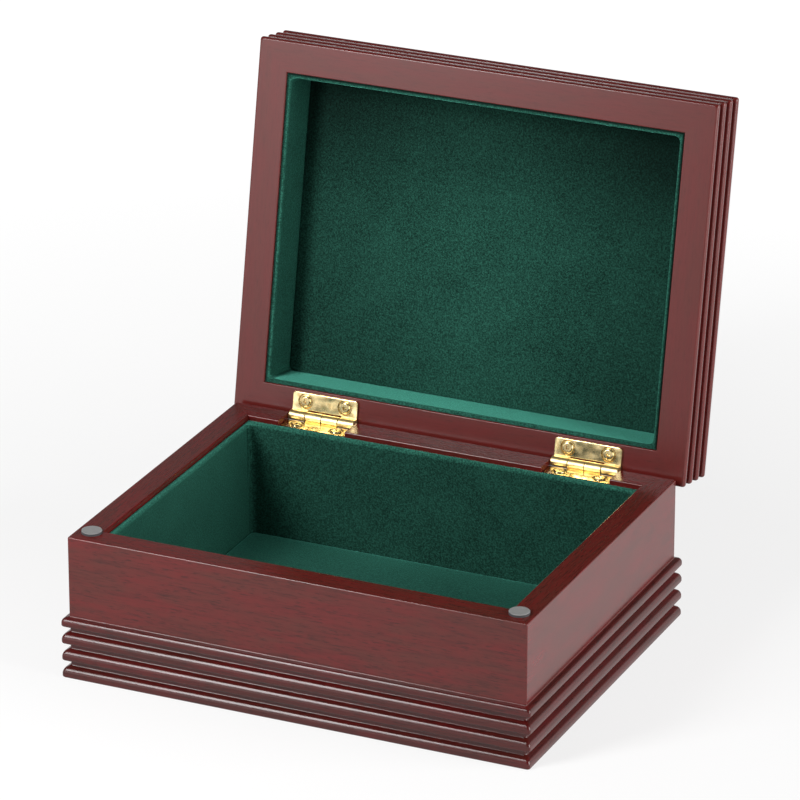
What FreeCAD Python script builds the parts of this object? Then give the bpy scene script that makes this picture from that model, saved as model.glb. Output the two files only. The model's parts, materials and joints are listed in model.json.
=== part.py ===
"""Keepsake box of mitred reeded mouldings, with a velvet lining and a lid on two brass hinges.

Frame: X along the width, Y from front to back, Z up, origin at the middle of the underside.
The lid is drawn where it lies when the box is shut, and its placement swings it open about the hinge axis.
"""
import FreeCAD
import Part
import Sketcher
import math
import os

SIZES = {
    # Walls of the base, measured over their plain outer faces
    "box_width": 190.0,
    "box_depth": 146.6,
    "wall_height": 58.1,
    "wall_thick": 10.4,
    "edge_round": 0.6,
    # Reeded mouldings: ribs round the foot, and slimmer ones round the lid
    "rib_count": 4,
    "rib_reach": 2.5,
    "nose_radius": 1.4,
    "rib_pitch": 7.1,
    "rib_root": 3.7,
    "rib_groove": 4.75,
    "rib_tip": 3.2,
    "lid_rib_pitch": 6.85,
    "lid_rib_root": 3.0,
    "lid_rib_groove": 4.2,
    "lid_rib_tip": 2.65,
    # Boards let into the mouldings
    "rebate_depth": 4.0,
    "felt_thick": 1.0,
    "board_thick": 5.0,
    "panel_thick": 3.0,
    # Velvet covered cards and pads
    "liner_thick": 2.0,
    "liner_drop": 2.0,
    "floor_pad_thick": 3.4,
    "lid_liner_thick": 1.8,
    "lid_liner_drop": 0.5,
    "lid_pad_thick": 2.0,
    # Rubber bumpers on the front corners of the rim
    "bumper_diameter": 8.0,
    "bumper_height": 1.15,
    "bumper_round": 0.3,
    "bumper_from_side": 6.5,
    "bumper_from_front": 7.8,
    # Brass hinges
    "hinge_from_side": 38.2,
    "hinge_width": 28.4,
    "hinge_reach": 9.35,
    "hinge_proud": 0.2,
    "leaf_thick": 1.1,
    "leaf_corner": 1.2,
    "knuckle_radius": 2.1,
    "knuckle_gap": 0.2,
    "knuckle_clearance": 0.25,
    "pin_radius": 0.95,
    "pin_clearance": 0.05,
    "mortise_clearance": 0.3,
    "open_angle": 100.65,
    # Pan head screws of the hinges
    "screw_spacing": 17.2,
    "screw_edge": 3.4,
    "screw_length": 9.0,
    "screw_point": 2.0,
    "screw_radius": 1.1,
    "screw_clearance": 0.1,
    "screw_head_radius": 2.3,
    "screw_head_height": 1.0,
    "screw_head_round": 0.6,
    "screw_sink": 0.5,
    # How far every cut runs past what it cuts
    "cut_overrun": 5.0,
}
# A rib's nose can be rounded only up to this share of its height
NOSE_LIMIT_SHARE = 0.5

LID_THICK = "((dim.rib_count - 1) * dim.lid_rib_pitch + dim.lid_rib_root)"
INNER_WIDTH = "(dim.box_width - 2 * dim.wall_thick)"
INNER_DEPTH = "(dim.box_depth - 2 * dim.wall_thick)"
BOARD_TOP = "(dim.felt_thick + dim.board_thick)"
PANEL_BOTTOM = f"({LID_THICK} - dim.panel_thick)"
LID_FACE = "(dim.wall_height + dim.bumper_height)"
LEAF_SEAT = "(dim.knuckle_radius + dim.knuckle_clearance)"
AXIS_Y = "(dim.box_depth / 2 + dim.hinge_proud)"
AXIS_Z = f"({LID_FACE} - {LEAF_SEAT})"
MORTISE_FLOOR = f"({AXIS_Z} - {LEAF_SEAT})"
HINGE_X = "(dim.box_width / 2 - dim.hinge_from_side)"
SCREW_REACH = "(dim.hinge_reach - dim.screw_edge)"
PILOT_RADIUS = "(dim.screw_radius + dim.screw_clearance)"
PILOT_DEPTH = "(dim.screw_length - dim.leaf_thick + dim.screw_sink + dim.screw_clearance)"
HEAD_SEAT_RADIUS = "(dim.screw_head_radius + dim.screw_clearance)"

UNTURNED = "rotation(vector(0; 0; 1); 0)"
SWUNG_OPEN = (
    f"placement(vector(0; {AXIS_Y}; {AXIS_Z}); rotation(vector(1; 0; 0); -dim.open_angle))"
    f" * placement(vector(0; -{AXIS_Y}; -{AXIS_Z}); {UNTURNED})"
)

doc = FreeCAD.newDocument("keepsake_box")
sub_parts = []


def write_sheet():
    """The driving dimensions, one named cell each."""
    sheet = doc.addObject("Spreadsheet::Sheet", "dim")
    for row, (name, size) in enumerate(SIZES.items(), 1):
        sheet.set(f"A{row}", name)
        sheet.set(f"B{row}", str(size))
        sheet.setAlias(f"B{row}", name)
    doc.recompute()
    return sheet


def number(expression):
    """The present value of an expression over the sheet's cells."""
    return float(sheet.evalExpression(expression))


def turned(axis, angle):
    """Expression of a turn by an angle about the Y or Z axis."""
    direction = {"y": "0; 1; 0", "z": "0; 0; 1"}[axis]
    return f"rotation(vector({direction}); {angle})"


def place(piece, x, y, z, turn=UNTURNED, on_lid=False):
    """Puts a piece at its place with the box shut, then swings the lid's pieces open."""
    shut = f"placement(vector({x}; {y}; {z}); {turn})"
    piece.setExpression("Placement", f"{SWUNG_OPEN} * {shut}" if on_lid else shut)
    sub_parts.append(piece)
    return piece


def new_body(label):
    body = doc.addObject("PartDesign::Body", label)
    body.Label = label
    return body


def origin_feature(body, role):
    return next(feature for feature in body.Origin.OriginFeatures if feature.Role == role)


def new_sketch(body, plane, offset="0", shift="0"):
    """A sketch on one of the body's origin planes, moved off it by offset and along it by shift."""
    sketch = body.newObject("Sketcher::SketchObject", f"{body.Label}_sketch")
    sketch.AttachmentSupport = [(origin_feature(body, plane), "")]
    sketch.MapMode = "FlatFace"
    sketch.setExpression("AttachmentOffset.Base.x", shift)
    sketch.setExpression("AttachmentOffset.Base.z", offset)
    return sketch


def bind(sketch, kind, *where, size):
    """Adds a dimension to a sketch and ties it to the sheet."""
    index = sketch.addConstraint(Sketcher.Constraint(kind, *where, number(size)))
    sketch.setExpression(f"Constraints[{index}]", size)


def fix_point(sketch, geometry, vertex, x, y):
    bind(sketch, "DistanceX", -1, 1, geometry, vertex, size=x)
    bind(sketch, "DistanceY", -1, 1, geometry, vertex, size=y)


def rounding(corner, before, after, radius):
    """Tangent points and arc of a rounded corner, and whether the arc runs from before to after."""
    back = (before - corner).normalize()
    ahead = (after - corner).normalize()
    half = back.getAngle(ahead) / 2
    centre = corner + (back + ahead).normalize() * (radius / math.sin(half))
    start = corner + back * (radius / math.tan(half))
    end = corner + ahead * (radius / math.tan(half))
    forward = back.cross(ahead).z < 0
    first, last = (start, end) if forward else (end, start)
    angles = [math.atan2(point.y - centre.y, point.x - centre.x) for point in (first, last)]
    circle = Part.Circle(centre, FreeCAD.Vector(0, 0, 1), radius)
    return start, end, Part.ArcOfCircle(circle, *angles), forward


def outline(sketch, corners):
    """Closed outline through corners given as (x, y) or, for a rounded one, (x, y, radius)."""
    points = [FreeCAD.Vector(number(corner[0]), number(corner[1]), 0) for corner in corners]
    count = len(corners)
    starts = list(points)
    ends = list(points)
    arcs = {}
    for i, corner in enumerate(corners):
        if len(corner) == 3:
            neighbours = points[i - 1], points[(i + 1) % count]
            ends[i], starts[i], *arcs[i] = rounding(points[i], *neighbours, number(corner[2]))
    lines = []
    for i in range(count):
        lines.append(sketch.addGeometry(Part.LineSegment(starts[i], ends[(i + 1) % count])))
    for i, corner in enumerate(corners):
        into, out = lines[i - 1], lines[i]
        if i not in arcs:
            sketch.addConstraint(Sketcher.Constraint("Coincident", into, 2, out, 1))
            fix_point(sketch, out, 1, corner[0], corner[1])
            continue
        arc, forward = arcs[i]
        arc = sketch.addGeometry(arc)
        first, last = (1, 2) if forward else (2, 1)
        sketch.addConstraint(Sketcher.Constraint("Tangent", into, 2, arc, first))
        sketch.addConstraint(Sketcher.Constraint("Tangent", arc, last, out, 1))
        bind(sketch, "Radius", arc, size=corner[2])
        apex = sketch.addGeometry(Part.Point(points[i]), True)
        sketch.addConstraint(Sketcher.Constraint("PointOnObject", apex, 1, into))
        sketch.addConstraint(Sketcher.Constraint("PointOnObject", apex, 1, out))
        fix_point(sketch, apex, 1, corner[0], corner[1])


def circle(sketch, x, y, radius):
    centre = FreeCAD.Vector(number(x), number(y), 0)
    ring = sketch.addGeometry(Part.Circle(centre, FreeCAD.Vector(0, 0, 1), number(radius)))
    bind(sketch, "Radius", ring, size=radius)
    fix_point(sketch, ring, 3, x, y)


def pad(body, sketch, length, midplane=False):
    feature = body.newObject("PartDesign::Pad", f"{body.Label}_pad")
    feature.Profile = sketch
    feature.Midplane = midplane
    feature.setExpression("Length", length)
    sketch.Visibility = False
    return feature


def pocket(body, sketch, depth=None, upward=False, midplane=False):
    """A cut to a depth, or through everything when no depth is given."""
    feature = body.newObject("PartDesign::Pocket", f"{body.Label}_pocket")
    feature.Profile = sketch
    feature.Reversed = upward
    feature.Midplane = midplane
    if depth is None:
        feature.Type = "ThroughAll"
    else:
        feature.setExpression("Length", depth)
    sketch.Visibility = False
    return feature


def mirror(body, *features):
    """Repeats features on the other side of the body's YZ plane."""
    feature = body.newObject("PartDesign::Mirrored", f"{body.Label}_mirrored")
    feature.Originals = list(features)
    feature.MirrorPlane = (origin_feature(body, "YZ_Plane"), [""])
    body.Tip = feature
    return feature


def revolve(body, sketch):
    """A full turn about the sketch's own upright axis."""
    feature = body.newObject("PartDesign::Revolution", f"{body.Label}_revolution")
    feature.Profile = sketch
    feature.ReferenceAxis = (sketch, ["V_Axis"])
    sketch.Visibility = False
    return feature


def rib(body, length, foot, tip, root):
    """A rib with a flat foot and a rounded nose, its top running up to its root on the board's face."""
    nose = f"min(dim.nose_radius; {NOSE_LIMIT_SHARE} * {tip})"
    sketch = new_sketch(body, "YZ_Plane")
    outline(sketch, [
        ("0", foot),
        ("dim.rib_reach", foot, nose),
        ("dim.rib_reach", f"{foot} + {tip}", nose),
        ("0", f"{foot} + {root}"),
    ])
    return pad(body, sketch, length, midplane=True)


def moulding(label, length, section, kind):
    """A mitred board along X, its plain outer face at Y zero and its ribs standing out towards +Y.

    The kind is the beginning of the names of its ribs' sizes.
    """
    body = new_body(label)
    board = new_sketch(body, "YZ_Plane")
    outline(board, section)
    over_ribs = f"{length} + 2 * dim.rib_reach"
    pad(body, board, over_ribs, midplane=True)

    tip, pitch = f"dim.{kind}_tip", f"dim.{kind}_pitch"
    lowest = rib(body, over_ribs, "0", tip, f"dim.{kind}_groove")
    ribs = body.newObject("PartDesign::LinearPattern", f"{label}_ribs")
    ribs.Originals = [lowest]
    ribs.Direction = (origin_feature(body, "Z_Axis"), [""])
    ribs.setExpression("Length", f"(dim.rib_count - 2) * {pitch}")
    ribs.setExpression("Occurrences", "dim.rib_count - 1")
    body.Tip = ribs
    rib(body, over_ribs, f"(dim.rib_count - 1) * {pitch}", tip, f"dim.{kind}_root")

    mitre = new_sketch(body, "XY_Plane")
    inside = "-dim.wall_thick - dim.cut_overrun"
    outside = "dim.rib_reach + dim.cut_overrun"
    outline(mitre, [
        (f"{length} / 2 {inside}", inside),
        (f"{length} / 2 + {outside}", inside),
        (f"{length} / 2 + {outside}", outside),
    ])
    mirror(body, pocket(body, mitre, midplane=True))
    return body


def wall_section():
    """A wall of the base: rounded rim, and a rebate for the bottom board and the felt under it."""
    rebate = "-dim.wall_thick + dim.rebate_depth"
    return [
        (rebate, "0"),
        ("0", "0"),
        ("0", "dim.wall_height", "dim.edge_round"),
        ("-dim.wall_thick", "dim.wall_height", "dim.edge_round"),
        ("-dim.wall_thick", BOARD_TOP),
        (rebate, BOARD_TOP),
    ]


def rail_section():
    """A rail of the lid, its mating face at Z zero: ribs all the way up, and a rebate for the panel."""
    rebate = "-dim.wall_thick + dim.rebate_depth"
    return [
        ("-dim.wall_thick", "0", "dim.edge_round"),
        ("0", "0"),
        ("0", LID_THICK),
        (rebate, LID_THICK),
        (rebate, PANEL_BOTTOM),
        ("-dim.wall_thick", PANEL_BOTTOM),
    ]


def drill_pilots(body, height, upward):
    """Pilot holes for one hinge's two screws."""
    holes = new_sketch(body, "XY_Plane", offset=height)
    for side in ("-", "+"):
        x = f"{HINGE_X} {side} dim.screw_spacing / 2"
        circle(holes, x, f"dim.hinge_proud - {SCREW_REACH}", PILOT_RADIUS)
    return pocket(body, holes, PILOT_DEPTH, upward=upward)


def cut_mortise(body):
    """Mortise for one hinge, through the thickness of the back wall and open above."""
    slot = new_sketch(body, "XY_Plane", offset=MORTISE_FLOOR)
    left = f"{HINGE_X} - dim.hinge_width / 2 - dim.mortise_clearance"
    right = f"{HINGE_X} + dim.hinge_width / 2 + dim.mortise_clearance"
    front = "-dim.wall_thick - dim.cut_overrun"
    back = "dim.cut_overrun"
    outline(slot, [(left, front), (right, front), (right, back), (left, back)])
    return pocket(body, slot, upward=True)


def frame_of_mouldings(prefix, ending, section, kind, height, on_lid):
    """Four mouldings round the box, mitred into one another. Gives them by side."""
    sides = {
        "front": ("dim.box_width", "0", "-dim.box_depth / 2", 180),
        "back": ("dim.box_width", "0", "dim.box_depth / 2", 0),
        "left": ("dim.box_depth", "-dim.box_width / 2", "0", 90),
        "right": ("dim.box_depth", "dim.box_width / 2", "0", -90),
    }
    made = {}
    for side, (length, x, y, turn) in sides.items():
        made[side] = moulding(f"{prefix}_{side}_{ending}", length, section, kind)
        place(made[side], x, y, height, turned("z", turn), on_lid)
    return made


def slab(label, low, high, on_lid=False):
    """A plain board, card or pad between two corners, given with the box shut."""
    box = doc.addObject("Part::Box", label)
    box.Label = label
    for side, start, end in zip(("Length", "Width", "Height"), low, high):
        box.setExpression(side, f"({end}) - ({start})")
    return place(box, *low, on_lid=on_lid)


def across(size):
    """The two ends of a size that is centred on an origin plane."""
    return f"-({size}) / 2", f"({size}) / 2"


def lining(prefix, thick, bottom, top, on_lid):
    """Four cards against the inner faces, the side ones between the front and back ones."""
    left, right = across(INNER_WIDTH)
    front, back = across(INNER_DEPTH)
    spans = {
        "front": (left, right, front, f"{front} + {thick}"),
        "back": (left, right, f"{back} - {thick}", back),
        "left": (left, f"{left} + {thick}", f"{front} + {thick}", f"{back} - {thick}"),
        "right": (f"{right} - {thick}", right, f"{front} + {thick}", f"{back} - {thick}"),
    }
    for side, (x0, x1, y0, y1) in spans.items():
        slab(f"{prefix}_{side}_liner", (x0, y0, bottom), (x1, y1, top), on_lid)


def centred_slab(label, width, depth, bottom, top, on_lid=False):
    left, right = across(width)
    front, back = across(depth)
    return slab(label, (left, front, bottom), (right, back, top), on_lid)


def bumper(label, x):
    """A rubber disc with a softened upper edge."""
    body = new_body(label)
    section = new_sketch(body, "XZ_Plane")
    outline(section, [
        ("0", "0"),
        ("dim.bumper_diameter / 2", "0"),
        ("dim.bumper_diameter / 2", "dim.bumper_height", "dim.bumper_round"),
        ("0", "dim.bumper_height"),
    ])
    revolve(body, section)
    return place(body, x, "-dim.box_depth / 2 + dim.bumper_from_front", "dim.wall_height")


def hinge_leaf(label, knuckle_start, knuckle_end):
    """A hinge leaf about its pin along X, lying towards -Y with its seat upwards.

    The plate has two knuckles, one on each side of the middle, which the sheet is rolled into, and two
    screw holes with sunk seats for the heads.
    """
    body = new_body(label)
    inner = f"({LEAF_SEAT} - dim.leaf_thick)"
    left, right = across("dim.hinge_width")
    plate = new_sketch(body, "XY_Plane", offset=inner)
    outline(plate, [
        (left, "-dim.hinge_reach", "dim.leaf_corner"),
        (right, "-dim.hinge_reach", "dim.leaf_corner"),
        (right, f"-{LEAF_SEAT}"),
        (left, f"-{LEAF_SEAT}"),
    ])
    pad(body, plate, "dim.leaf_thick")

    span = f"({knuckle_end}) - ({knuckle_start})"
    web = new_sketch(body, "YZ_Plane", offset=knuckle_start)
    outline(web, [
        (f"-{LEAF_SEAT}", inner),
        ("0", inner),
        ("0", "dim.knuckle_radius"),
        (f"-{LEAF_SEAT}", LEAF_SEAT),
    ])
    web = pad(body, web, span)
    barrel = new_sketch(body, "YZ_Plane", offset=knuckle_start)
    circle(barrel, "0", "0", "dim.knuckle_radius")
    mirror(body, web, pad(body, barrel, span))

    bore = new_sketch(body, "YZ_Plane")
    circle(bore, "0", "0", "dim.pin_radius + dim.pin_clearance")
    pocket(body, bore, midplane=True)
    holes = new_sketch(body, "XY_Plane")
    seats = new_sketch(body, "XY_Plane", offset=inner)
    for x in across("dim.screw_spacing"):
        circle(holes, x, f"-{SCREW_REACH}", PILOT_RADIUS)
        circle(seats, x, f"-{SCREW_REACH}", HEAD_SEAT_RADIUS)
    pocket(body, holes, upward=True)
    pocket(body, seats, "dim.screw_sink", upward=True)
    return body


def screw_pair(label):
    """Two pan head screws, heads up, their bearing faces at Z zero."""
    body = new_body(label)
    section = new_sketch(body, "XZ_Plane", shift="dim.screw_spacing / 2")
    outline(section, [
        ("0", "-dim.screw_length"),
        ("dim.screw_radius", "-dim.screw_length + dim.screw_point"),
        ("dim.screw_radius", "0"),
        ("dim.screw_head_radius", "0"),
        ("dim.screw_head_radius", "dim.screw_head_height", "dim.screw_head_round"),
        ("0", "dim.screw_head_height"),
    ])
    mirror(body, revolve(body, section))
    return body


def hinge(side, x):
    """One hinge: its two leaves, its pin and the screws of each leaf."""
    outer = "dim.hinge_width / 4 + dim.knuckle_gap / 2", "dim.hinge_width / 2"
    middle = "dim.knuckle_gap / 2", "dim.hinge_width / 4 - dim.knuckle_gap / 2"
    upside_down = turned("y", 180)
    lid_leaf = hinge_leaf(f"{side}_hinge_lid_leaf", *outer)
    place(lid_leaf, x, AXIS_Y, AXIS_Z, on_lid=True)
    base_leaf = hinge_leaf(f"{side}_hinge_base_leaf", *middle)
    place(base_leaf, x, AXIS_Y, AXIS_Z, upside_down)

    pin = doc.addObject("Part::Cylinder", f"{side}_hinge_pin")
    pin.Label = f"{side}_hinge_pin"
    pin.setExpression("Radius", "dim.pin_radius")
    pin.setExpression("Height", "dim.hinge_width")
    place(pin, f"{x} - dim.hinge_width / 2", AXIS_Y, AXIS_Z, turned("y", 90))

    screw_y = f"{AXIS_Y} - {SCREW_REACH}"
    lid_screws = screw_pair(f"{side}_hinge_lid_screws")
    place(lid_screws, x, screw_y, f"{LID_FACE} - dim.leaf_thick + dim.screw_sink", upside_down, on_lid=True)
    base_screws = screw_pair(f"{side}_hinge_base_screws")
    place(base_screws, x, screw_y, f"{MORTISE_FLOOR} + dim.leaf_thick - dim.screw_sink")


def base():
    walls = frame_of_mouldings("base", "wall", wall_section(), "rib", "0", on_lid=False)
    mortise = cut_mortise(walls["back"])
    pilots = drill_pilots(walls["back"], MORTISE_FLOOR, upward=False)
    mirror(walls["back"], mortise, pilots)

    board_width = f"{INNER_WIDTH} + 2 * dim.rebate_depth"
    board_depth = f"{INNER_DEPTH} + 2 * dim.rebate_depth"
    centred_slab("base_felt", board_width, board_depth, "0", "dim.felt_thick")
    centred_slab("base_bottom_board", board_width, board_depth, "dim.felt_thick", BOARD_TOP)
    lining("base", "dim.liner_thick", BOARD_TOP, "dim.wall_height - dim.liner_drop", on_lid=False)
    pad_width = f"{INNER_WIDTH} - 2 * dim.liner_thick"
    pad_depth = f"{INNER_DEPTH} - 2 * dim.liner_thick"
    pad_top = f"{BOARD_TOP} + dim.floor_pad_thick"
    centred_slab("base_floor_pad", pad_width, pad_depth, BOARD_TOP, pad_top)
    bumper("bumper_left", "-dim.box_width / 2 + dim.bumper_from_side")
    bumper("bumper_right", "dim.box_width / 2 - dim.bumper_from_side")


def lid():
    rails = frame_of_mouldings("lid", "rail", rail_section(), "lid_rib", LID_FACE, on_lid=True)
    mirror(rails["back"], drill_pilots(rails["back"], "0", upward=True))

    panel_width = f"{INNER_WIDTH} + 2 * dim.rebate_depth"
    panel_depth = f"{INNER_DEPTH} + 2 * dim.rebate_depth"
    panel_bottom = f"{LID_FACE} + {PANEL_BOTTOM}"
    panel_top = f"{LID_FACE} + {LID_THICK}"
    centred_slab("lid_top_panel", panel_width, panel_depth, panel_bottom, panel_top, on_lid=True)
    lining("lid", "dim.lid_liner_thick", f"{LID_FACE} + dim.lid_liner_drop", panel_bottom, on_lid=True)
    pad_width = f"{INNER_WIDTH} - 2 * dim.lid_liner_thick"
    pad_depth = f"{INNER_DEPTH} - 2 * dim.lid_liner_thick"
    pad_bottom = f"{panel_bottom} - dim.lid_pad_thick"
    centred_slab("lid_panel_pad", pad_width, pad_depth, pad_bottom, panel_bottom, on_lid=True)


def check_document():
    """Stops before anything is written if a feature failed, a cut missed or a shape is bad."""
    for thing in doc.Objects:
        if "Invalid" in thing.State or "Error" in thing.State:
            raise RuntimeError(f"{thing.Label} failed: {thing.State}")
        if thing.TypeId == "PartDesign::Pocket":
            if not thing.Shape.Volume < thing.BaseFeature.Shape.Volume:
                raise RuntimeError(f"{thing.Label} cuts nothing")
    for piece in sub_parts:
        if piece.Shape.isNull() or not piece.Shape.isValid() or not piece.Shape.Solids:
            raise RuntimeError(f"{piece.Label} has no sound shape")


def write_parts():
    os.makedirs("parts", exist_ok=True)
    for piece in sub_parts:
        piece.Shape.exportStep(f"parts/{piece.Label}.step")


sheet = write_sheet()
base()
lid()
hinge("left", f"-{HINGE_X}")
hinge("right", HINGE_X)
doc.recompute()
check_document()
write_parts()
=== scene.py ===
"""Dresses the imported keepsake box: mitred boards, velvet lining, brass hinges, screws and bumpers."""
import bmesh
import bpy
import json
import math
from mathutils import Matrix, Vector


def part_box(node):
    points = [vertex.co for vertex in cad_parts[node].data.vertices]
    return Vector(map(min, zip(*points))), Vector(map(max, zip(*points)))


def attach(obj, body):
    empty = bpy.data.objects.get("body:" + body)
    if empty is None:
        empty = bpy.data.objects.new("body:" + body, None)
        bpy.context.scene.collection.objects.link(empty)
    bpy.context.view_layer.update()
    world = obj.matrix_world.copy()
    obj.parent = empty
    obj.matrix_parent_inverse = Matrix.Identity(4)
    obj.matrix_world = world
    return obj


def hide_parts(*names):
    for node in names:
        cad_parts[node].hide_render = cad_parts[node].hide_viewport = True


bl_info = {
    "name": "Keepsake box",
    "version": (1, 0, 0),
    "blender": (4, 5, 0),
    "location": "3D View > Sidebar > Keepsake box",
    "description": "Models the boards, velvet, hinges and bumpers of a keepsake box round its CAD frame",
    "category": "Object",
}

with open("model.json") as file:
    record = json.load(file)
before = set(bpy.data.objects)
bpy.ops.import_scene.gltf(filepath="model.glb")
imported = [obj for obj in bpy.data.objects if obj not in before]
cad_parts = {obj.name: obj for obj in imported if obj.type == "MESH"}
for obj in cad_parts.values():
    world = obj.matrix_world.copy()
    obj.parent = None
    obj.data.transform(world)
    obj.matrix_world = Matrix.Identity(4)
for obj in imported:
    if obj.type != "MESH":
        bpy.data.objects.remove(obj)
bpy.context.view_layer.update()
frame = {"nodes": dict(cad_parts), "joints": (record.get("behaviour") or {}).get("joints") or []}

MM = 0.001
TOUCH = 0.002 * MM
MERGE = TOUCH / 10
SMOOTH_ANGLE = math.radians(35)
BEVEL_ANGLE = math.radians(40)
# How much of a normal lies along an axis on a face that is turned that way, and on one that is flat.
FACING, FLAT = 0.9, 0.99
AXIS = Vector(frame["joints"][0]["pos_m"])
WALL_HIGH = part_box("base_front_wall")[1]
SIDE_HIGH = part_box("base_left_wall")[1]
LINER_LOW, LINER_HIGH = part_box("base_front_liner")
FLOOR_LOW, FLOOR_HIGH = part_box("base_floor_pad")
BOARD_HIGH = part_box("base_bottom_board")[1]
FELT_LOW, FELT_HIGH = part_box("base_felt")
BUMPER_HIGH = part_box("bumper_left")[1]
PIN_LOW, PIN_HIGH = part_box("right_hinge_pin")
HINGE_X = (PIN_LOW.x + PIN_HIGH.x) / 2
LID_FACE = BUMPER_HIGH.z
SIDES = {"front": (0, -1), "back": (0, 1), "left": (-1, 0), "right": (1, 0)}
PAD_SPACING = 3 * MM
PAD_FLATNESS = 6
# Where the painted shade of the lid's lining starts and where it is darkest, as shares of the way out from the
# middle.
END_RAMP, TOP_RAMP, SIDE_RAMP = (0.3, 0.95), (0.0, 0.9), (0.1, 0.9)
LAP_LENGTH = 28 * MM
LAP_CUTS = 8
# Places across the lap of the velvet, how far it stands out there, and by the same share how much paler or darker its
# painted light is there.
LAP_STEPS = ((-0.8 * MM, 0.0), (-0.2 * MM, -0.4), (0.3 * MM, 1.0), (0.8 * MM, 0.8), (2.2 * MM, 0.3))
STRIP_CUTS = [0.22 * i for i in range(-4, 5)]
RECESS_TAPER = (0.4, 0.7, 1)
SCREW_TURNS = {"left": (1.6, 2.3), "right": (2.0, 2.7)}
# Shift of the grain, so that boards across the box don't repeat those along it.
ACROSS_SHIFT = (0.31, 0.17, 0.05)


def linear(code):
    """Linear RGBA of an sRGB hex colour."""
    parts = [int(code[i:i + 2], 16) / 255 for i in (1, 3, 5)]
    return [c / 12.92 if c <= 0.04045 else ((c + 0.055) / 1.055) ** 2.4 for c in parts] + [1.0]


def length(name, description, millimetres):
    return bpy.props.FloatProperty(
        name=name, description=description, default=millimetres * MM, unit="LENGTH", precision=5)


def colour(name, description, code):
    return bpy.props.FloatVectorProperty(
        name=name, description=description, default=linear(code), size=4, subtype="COLOR", min=0, max=1)


def share(name, description, default):
    return bpy.props.FloatProperty(
        name=name, description=description, default=default, min=0, max=2, subtype="FACTOR")


def angle(name, description, degrees):
    return bpy.props.FloatProperty(
        name=name, description=description, default=math.radians(degrees), subtype="ANGLE")


def location(name, description, at):
    return bpy.props.FloatVectorProperty(name=name, description=description, default=at, subtype="TRANSLATION")


def extent(name, description, sides):
    return bpy.props.FloatVectorProperty(name=name, description=description, default=sides, size=2, unit="LENGTH")


def watts(name, description, power):
    return bpy.props.FloatProperty(name=name, description=description, default=power, unit="POWER")


class WoodSettings(bpy.types.PropertyGroup):
    """Sizes of the reeded mouldings and colours of their stain."""
    rib_count: bpy.props.IntProperty(name="Ribs", description="Ribs of the moulding", default=4, min=1)
    rib_reach: length("Rib reach", "How far a rib stands out", 2.5)
    rib_pitch: length("Foot rib pitch", "From one rib of the foot to the next", 7.1)
    rib_root: length("Foot rib root", "Height of the foot's top rib where it leaves the board", 3.7)
    rib_groove: length("Foot rib groove", "Height of the foot's other ribs where they leave the board", 4.75)
    rib_tip: length("Foot rib tip", "Height of a foot rib's nose", 3.2)
    rib_low: length("Foot rib lower edge", "Rounding of a foot rib's square edge", 0.8)
    rib_high: length("Foot rib upper edge", "Rounding of a foot rib's sloped edge, along its faces", 1.6)
    lid_rib_pitch: length("Lid rib pitch", "From one rib of the lid to the next", 6.85)
    lid_rib_root: length("Lid rib root", "Height of the lid's top rib where it leaves the board", 3.0)
    lid_rib_groove: length("Lid rib groove", "Height of the lid's other ribs where they leave the board", 4.2)
    lid_rib_tip: length("Lid rib tip", "Height of a lid rib's nose", 2.65)
    lid_rib_low: length("Lid rib lower edge", "Rounding of a lid rib's square edge", 1.3)
    lid_rib_high: length("Lid rib upper edge", "Rounding of a lid rib's sloped edge, along its faces", 1.1)
    root_fillet: length("Root fillet", "Hollow of lacquer above a rib", 0.45)
    edge_round: length("Edge rounding", "Rounding of the rim's edges", 0.6)
    corner_round: length("Corner rounding", "Softening of the ribs' mitred corners", 1.0)
    wall_corner: share("Wall corner", "Rounding of the plain walls' corners, as a share of the ribs'", 0.4)
    wall: length("Wall", "Thickness of the boards", 10.4)
    rebate: length("Rebate", "Depth of the rebate that takes a board", 4.0)
    panel: length("Panel", "Thickness of the lid's panel", 3.0)
    panel_edge: length("Panel edge", "Softening of the panel's edge", 0.35)
    mortise_gap: length("Mortise gap", "Room beside a hinge leaf in its mortise", 0.3)
    open_angle: angle("Open angle", "How far the lid stands open", 100.65)
    brown: colour("Brown figure", "Stain in the close grained patches", "#60241E")
    red: colour("Red figure", "Stain in the open grained patches", "#6E1C1B")
    dark: colour("Streak", "Stain in the dense late wood", "#431512")
    pore: colour("Pore", "Filled pores along the grain", "#35100D")
    toner: colour("Toner", "Dark toner that is sprayed over the ribs of the foot", "#CFC8C8")
    toner_below: length("Toner start", "How far under the foot's top the toner starts to thin out", 0.2)
    toner_above: length("Toner end", "How far over the foot's top the toner ends", 0.4)
    lid_figure: share("Lid figure", "How strongly the figure shows on the lid", 0.4)
    figure_length: length("Figure length", "Length of a patch along the board", 32.0)
    figure_width: length("Figure width", "Width of a patch across the board", 6.0)
    grain_length: length("Grain length", "Length of a streak along the board", 14.0)
    grain_width: length("Grain width", "Width of a streak across the board", 1.0)
    pore_length: length("Pore length", "Length of a pore", 4.0)
    pore_width: length("Pore width", "Width of a pore, drawn coarse enough to show", 0.5)


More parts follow.
